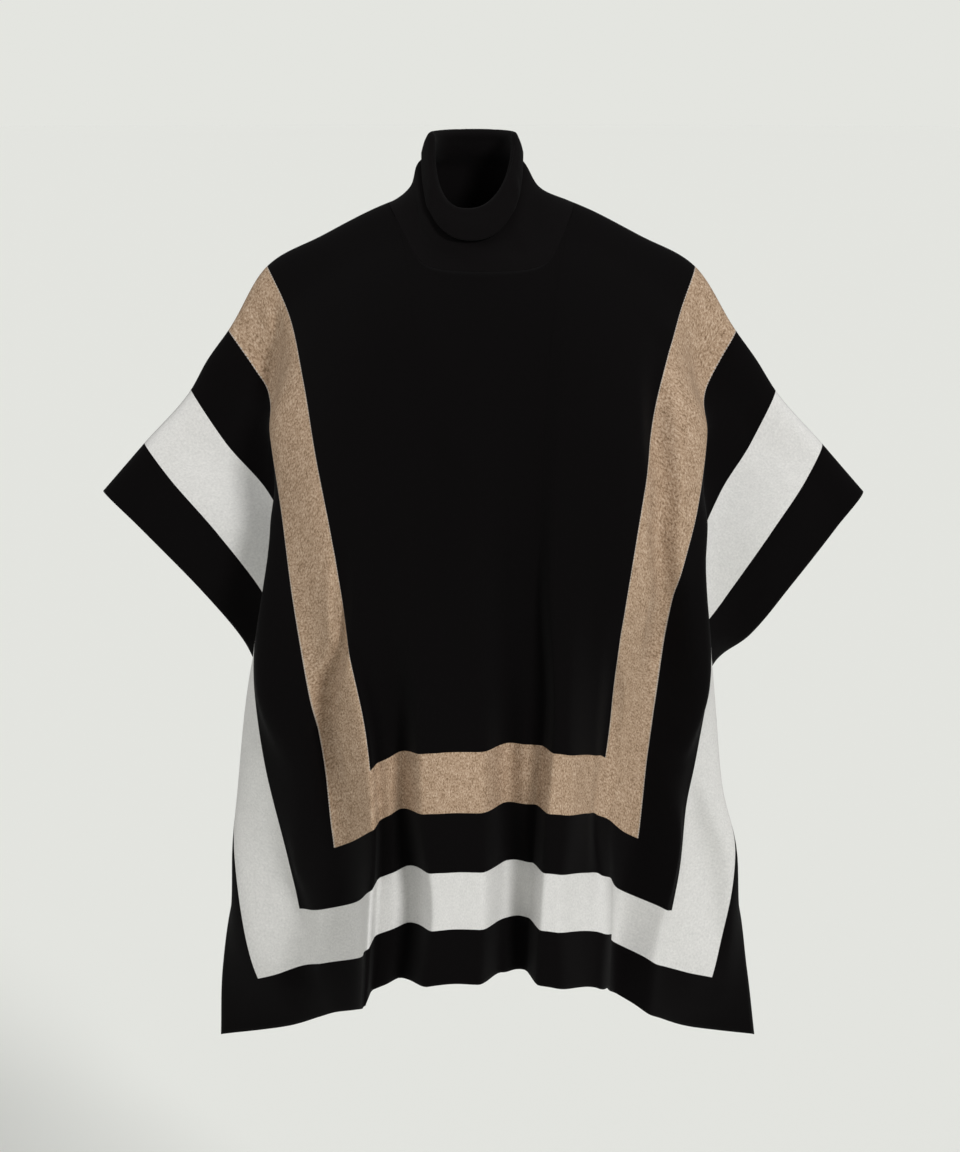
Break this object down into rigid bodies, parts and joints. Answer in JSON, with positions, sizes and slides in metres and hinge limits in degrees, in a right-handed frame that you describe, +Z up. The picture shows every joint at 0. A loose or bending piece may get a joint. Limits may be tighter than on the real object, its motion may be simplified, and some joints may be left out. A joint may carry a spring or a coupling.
{
  "type": "poncho sweater",
  "caption": "Wide knitted poncho with a roll neck and open sleeve ends, colour-block stripes along its edges, filled out as if worn, worn over the shoulders.",
  "frame": {"origin": "middle of the neck at shoulder level, between the two neck points of the shoulder seams", "axes": "+Z up, -Y the garment's front, +X to the right of somebody looking at the front"},
  "size_m": [0.756, 0.2965, 0.9367],
  "materials": {
    "panel_knit": "fine matt jersey knit; black, camel, black, off-white and black stripes in blocks",
    "neck_knit": "fine matt jersey knit, black"
  },
  "bodies": {
    "root": {"front_panel": "panel_knit", "back_panel": "panel_knit", "roll_neck": "neck_knit"}
  },
  "joints": []
}
